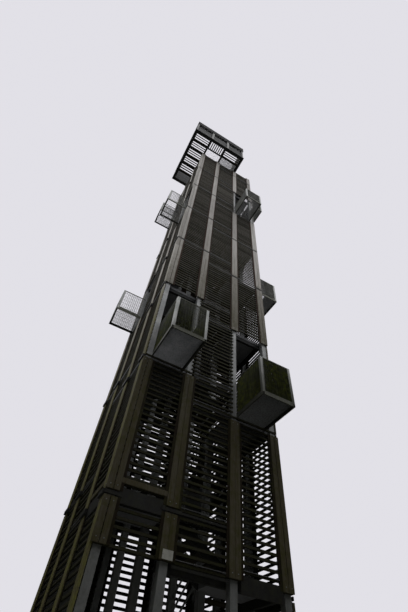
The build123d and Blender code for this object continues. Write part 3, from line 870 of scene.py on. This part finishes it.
floor_bars, floor_rods = [], []
for side, a0, a1, o0, o1, low_z, high_z in decks:
    run = Vector([abs(c) for c in SIDES[side][1]])
    outwards = Vector([abs(c) for c in SIDES[side][2]])
    middle, reach, z = (a0 + a1) / 2, (o0 + o1) / 2, (low_z + high_z) / 2
    size = Vector((BAR_T, BAR_T, high_z - low_z)) + run * (a1 - a0 - BAR_T)
    floor_bars.append((on_side(side, middle, o0 + BAR_T, z), on_side(side, middle, o1 - BAR_T, z), size))
    size = Vector((ROD_T, ROD_T, ROD_T)) + outwards * (o1 - o0 - ROD_T)
    z = high_z - ROD_T
    floor_rods.append((on_side(side, a0 + ROD_T, reach, z), on_side(side, a1 - ROD_T, reach, z), size))
bars("balcony_floor_bars", floor_bars, BAR_SPACING, floor_steel, ["balcony_decks"])
bars("balcony_floor_rods", floor_rods, ROD_SPACING, floor_steel)

# %% Balcony guards
GUARD_NODES = ("balcony_front_panels", "balcony_side_panels")
GUARD_SPACING = 0.0285
BAR_DEPTH = 0.03
UPRIGHT_T = 0.013
RAIL_H = 0.04
RAIL_CHAMFER = 0.004
GUARD_ROD_IN = 0.2
GUARD_ROD_SPACING = 0.196

guard_bars, guard_uprights, guard_rods = [], [], []
rails = bmesh.new()
for node in GUARD_NODES:
    for low, high in solids(node):
        length = high - low
        axis = long_axis(low, high)
        across = 1 - axis
        start, end = low.copy(), low.copy()
        start[across] = end[across] = (low[across] + high[across]) / 2
        end[axis] = high[axis]
        start.z = end.z = (low.z + high.z) / 2
        size = Vector((BAR_T, BAR_T, length.z - 2 * RAIL_H))
        size[across] = BAR_DEPTH
        guard_bars.append((start, end, size))
        size = size.copy()
        size[axis] = UPRIGHT_T
        guard_uprights.append((start, end, size))
        foot = (start + end) / 2
        head = foot.copy()
        foot.z = low.z + GUARD_ROD_IN
        head.z = high.z - GUARD_ROD_IN
        size = Vector((ROD_T, ROD_T, ROD_T))
        size[axis] = length[axis]
        guard_rods.append((foot, head, size))
        for z in (low.z, high.z - RAIL_H):
            near, far = low.copy(), high.copy()
            near.z, far.z = z, z + RAIL_H
            add_board(rails, near, far, axis, RAIL_CHAMFER)
bars("balcony_guard_bars", guard_bars, GUARD_SPACING, mesh_steel, GUARD_NODES)
bars("balcony_guard_uprights", guard_uprights, 3 * GUARD_SPACING, mesh_steel)
bars("balcony_guard_rods", guard_rods, GUARD_ROD_SPACING, mesh_steel)
piece_from("balcony_guard_rails", rails, channel_steel)

# %% Balcony corner angles and floor channels
ANGLE_T = 0.008
FLANGE = 0.034
SHORT_BEAM = 0.5

angles = bmesh.new()
channels = bmesh.new()


def deck_of(box):
    """The balcony floor that a box stands beside."""
    middle = (box[0] + box[1]) / 2

    def distance(deck):
        """How far the middle of a floor is from the box."""
        side, a0, a1, o0, o1, _, top = deck
        return (on_side(side, (a0 + a1) / 2, (o0 + o1) / 2, top) - middle).length

    return min(decks, key=distance)


for box in solids("balcony_posts"):
    side, d0, d1 = deck_of(box)[:3]
    a0, a1, o0, o1 = side_span(side, box)
    outer, inner = (a0, a1) if (a0 + a1) / 2 < (d0 + d1) / 2 else (a1, a0)
    step = ANGLE_T if inner > outer else -ANGLE_T
    outline = [
        (outer, o1), (inner, o1), (inner, o1 - ANGLE_T),
        (outer + step, o1 - ANGLE_T), (outer + step, o0), (outer, o0),
    ]
    add_sweep(angles, [on_side(side, a, o, box[0].z) for a, o in outline], AXIS_Z * (box[1].z - box[0].z))


def channel(outer, inner, low_z, high_z):
    """Outline of a channel in a flat drawing, from its back to its flange tips and up."""
    back = ANGLE_T if inner > outer else -ANGLE_T
    tip = FLANGE if inner > outer else -FLANGE
    return [
        (outer, low_z), (outer + tip, low_z),
        (outer + tip, low_z + ANGLE_T), (outer + back, low_z + ANGLE_T),
        (outer + back, high_z - ANGLE_T), (inner, high_z - ANGLE_T),
        (inner, high_z), (outer, high_z),
    ]


for box in solids("balcony_beams"):
    side, d0, d1 = deck_of(box)[:3]
    a0, a1, o0, o1 = side_span(side, box)
    low_z, high_z = box[0].z, box[1].z
    if a1 - a0 > SHORT_BEAM:
        outline = [on_side(side, a0, o, z) for o, z in channel(o1, o0, low_z, high_z)]
        add_sweep(channels, outline, SIDES[side][1] * (a1 - a0))
    else:
        outer, inner = (a0, a1) if a1 < (d0 + d1) / 2 else (a1, a0)
        outline = [on_side(side, a, o0, z) for a, z in channel(outer, inner, low_z, high_z)]
        add_sweep(channels, outline, SIDES[side][2] * (o1 - o0))
piece_from("balcony_angles", angles, angle_steel, ["balcony_posts"])
piece_from("balcony_channels", channels, channel_steel, ["balcony_beams"])

# %% [markdown]
# ## The top platform
# Its floor is of spaced boards, with coarse and fine gratings in a few cells that let the sky through.
# The walls are wide boards behind flat timber posts, below a darker rim of three boards.

# %% Platform floor
GRATING_T = 0.03
FINE_SPACING = 0.0095
FRONT_SLOT = 0.09
INNER_EXTRA = 0.037
LEAST_CELL = 0.5
SLACK = 0.1

floor_boards = bmesh.new()
closed = []
for low, high in solids("platform_deck"):
    if min(high.x - low.x, high.y - low.y) > LEAST_CELL:
        closed.append((low, high))
    else:
        if low.x > -SLACK and low.y > 0:
            low.y -= INNER_EXTRA
            high.y += INNER_EXTRA
        add_board(floor_boards, low, high, long_axis(low, high), BOARD_CHAMFER)


def bar_row(low, high, axis):
    """Guide line along an axis, and size of the bars across it that fill a box."""
    start, end = (low + high) / 2, (low + high) / 2
    start.z = end.z = high.z - GRATING_T / 2
    start[axis] = low[axis] + BAR_T
    end[axis] = high[axis] - BAR_T
    size = Vector((BAR_T, BAR_T, GRATING_T))
    size[1 - axis] = high[1 - axis] - low[1 - axis]
    return start, end, size


grating_rows, fine_rows = [], []
for low, high in closed:
    if low.x > GRID[1] - SLACK:
        low.y += FRONT_SLOT
        fine_rows.append(bar_row(low, high, 0))
    else:
        grating_rows.append(bar_row(low, high, 1 if low.x < -SLACK else 0))
piece_from("platform_floor_boards", floor_boards, deck_timber, ["platform_deck"])
bars("platform_gratings", grating_rows, BAR_SPACING, floor_steel)
bars("platform_fine_grating", fine_rows, FINE_SPACING, floor_steel)

# %% Platform rim and posts
RIM_BOARDS = 3
RIM_GAP = 0.008
FACE_BOARD_W = 0.19
FACE_BOARD_T = 0.03
FACE_GAP = 0.002
OUTER_ROW = 2.0

rims = solids("platform_rim")
rim = bmesh.new()
for low, high in rims:
    pitch = (high.z - low.z + RIM_GAP) / RIM_BOARDS
    for number in range(RIM_BOARDS):
        near, far = low.copy(), high.copy()
        near.z = low.z + number * pitch
        far.z = near.z + pitch - RIM_GAP
        add_board(rim, near, far, long_axis(low, high), BOARD_CHAMFER)
piece_from("platform_rim_boards", rim, rim_timber, ["platform_rim"])

rim_low = min(low.z for low, high in rims)
platform_middle = sum((low + high for low, high in rims), Vector()) / (2 * len(rims))
post_faces = bmesh.new()
for low, high in solids("platform_posts"):
    middle = (low + high) / 2
    for axis in range(2):
        out = middle[axis] - platform_middle[axis]
        across = 1 - axis
        if abs(out) < OUTER_ROW:
            continue
        near, far = low.copy(), high.copy()
        if abs(middle[across] - platform_middle[across]) <= OUTER_ROW:
            near[across] = middle[across] - FACE_BOARD_W / 2
            far[across] = middle[across] + FACE_BOARD_W / 2
        if out < 0:
            near[axis], far[axis] = low[axis] - FACE_BOARD_T, low[axis]
        else:
            near[axis], far[axis] = high[axis], high[axis] + FACE_BOARD_T
        far.z = rim_low - FACE_GAP
        add_board(post_faces, near, far, 2, BOARD_CHAMFER)
piece_from("platform_post_boards", post_faces, face_timber)

# %% Closing boards under the rim
SOFFIT_T = 0.024
SOFFIT_IN = 0.06

soffits = bmesh.new()
wall = solids("platform_slats")
wall_low = min(low.x for low, high in wall)
wall_high = max(high.x for low, high in wall)
for low, high in rims:
    near, far = low.copy(), high.copy()
    axis = long_axis(low, high)
    across = 1 - axis
    if low[across] < wall_low:
        near[across], far[across] = high[across], wall_low
    else:
        near[across], far[across] = wall_high, low[across]
    near[axis], far[axis] = (wall_low, wall_high) if axis else (low.x + SOFFIT_IN, high.x - SOFFIT_IN)
    near.z, far.z = rim_low - SOFFIT_T, rim_low
    add_box(soffits, near, far)
piece_from("platform_soffit", soffits, rim_timber)

# %% [markdown]
# ## Stairs and feet
# Each tread gets a steel nosing, the rails round the core get their lower rails, and every base plate
# is held by four anchor bolts.

# %% Tread nosings and lower rails
NOSING = 0.03
NOSING_T = 0.004
LOWER_RAIL_DROPS = (0.35, 0.7)

nosings = bmesh.new()
for side in ("front", "left", "back", "right"):
    axis = side_axis(side)
    for low, high in solids("treads_" + side):
        for edge in (low[axis], high[axis] - NOSING):
            near, far = low.copy(), high.copy()
            near[axis], far[axis] = edge, edge + NOSING
            near.z, far.z = high.z, high.z + NOSING_T
            add_box(nosings, near, far)
piece_from("tread_nosings", nosings, galvanised)

lower_rails = bmesh.new()
for side in SIDES:
    for drop in LOWER_RAIL_DROPS:
        part = bmesh.new()
        part.from_mesh(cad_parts["core_rails_" + side].data)
        bmesh.ops.translate(part, verts=part.verts, vec=(0, 0, -drop))
        shifted = bpy.data.meshes.new("lower_rail")
        part.to_mesh(shifted)
        part.free()
        lower_rails.from_mesh(shifted)
        bpy.data.meshes.remove(shifted)
piece_from("core_lower_rails", lower_rails, galvanised)

# %% Anchor bolts
ANCHOR_INSET = 0.045
ANCHOR_RADIUS, ANCHOR_HEIGHT = 0.018, 0.016

heads = []
for low, high in plates:
    for x in (low.x + ANCHOR_INSET, high.x - ANCHOR_INSET):
        for y in (low.y + ANCHOR_INSET, high.y - ANCHOR_INSET):
            heads.append((Vector((x, y, high.z)), AXIS_Z))
bolts("anchor_bolts", heads, ANCHOR_RADIUS, ANCHOR_HEIGHT, galvanised)

# %% [markdown]
# ## Light
# The sky is an even overcast white, and little light comes back from below. The tower stands sheltered:
# a dark ring that no camera sees dims its lower half. Nothing else stands on the stage, so every view
# shows the same pale sky, between the slats too.

# %% Sky
SKY = (0.76, 0.75, 0.8, 1.0)
SKY_LIGHT = (1.0, 1.0, 0.99)
GROUND_LIGHT = (0.12, 0.12, 0.11)
HORIZON = 0.05

world = bpy.data.worlds.new("overcast_sky")
world.use_nodes = True
tree = world.node_tree
seen = tree.nodes["Background"]
seen.inputs["Color"].default_value = SKY
light = tree.nodes.new("ShaderNodeBackground")
direction = tree.nodes.new("ShaderNodeTexCoord").outputs["Generated"]
height = tree.nodes.new("ShaderNodeSeparateXYZ")
tree.links.new(direction, height.inputs["Vector"])
above = ramp(tree, height.outputs["Z"], -HORIZON, HORIZON)
tree.links.new(mix(tree, above, GROUND_LIGHT, SKY_LIGHT), light.inputs["Color"])
path = tree.nodes.new("ShaderNodeLightPath")
choose = tree.nodes.new("ShaderNodeMixShader")
tree.links.new(path.outputs["Is Camera Ray"], choose.inputs["Fac"])
tree.links.new(light.outputs["Background"], choose.inputs[1])
tree.links.new(seen.outputs["Background"], choose.inputs[2])
tree.links.new(choose.outputs["Shader"], tree.nodes["World Output"].inputs["Surface"])
bpy.context.scene.world = world
bpy.context.scene.view_settings.view_transform = "Standard"


def stage_piece(name, mesh, colour):
    """A piece of the stage with a plain rough colour, which isn't part of the tower."""
    data = bpy.data.meshes.new(name)
    mesh.to_mesh(data)
    mesh.free()
    material, _, shader = new_material(name)
    shader.inputs["Base Color"].default_value = (*colour, 1.0)
    shader.inputs["Roughness"].default_value = 1.0
    shader.inputs["Specular IOR Level"].default_value = 0.0
    data.materials.append(material)
    piece = bpy.data.objects.new(name, data)
    bpy.context.scene.collection.objects.link(piece)
    return piece


# %% Shade
SHADE_RADIUS = 15.0
SHADE_HEIGHT = 15.0
SHADE_COLOUR = (0.06, 0.062, 0.05)

ring = bmesh.new()
middle = Matrix.Translation((TOWER / 2, TOWER / 2, SHADE_HEIGHT / 2))
bmesh.ops.create_cone(
    ring,
    cap_ends=False,
    segments=64,
    radius1=SHADE_RADIUS,
    radius2=SHADE_RADIUS,
    depth=SHADE_HEIGHT,
    matrix=middle,
)
shade = stage_piece("shade_ring", ring, SHADE_COLOUR)
shade.visible_camera = False
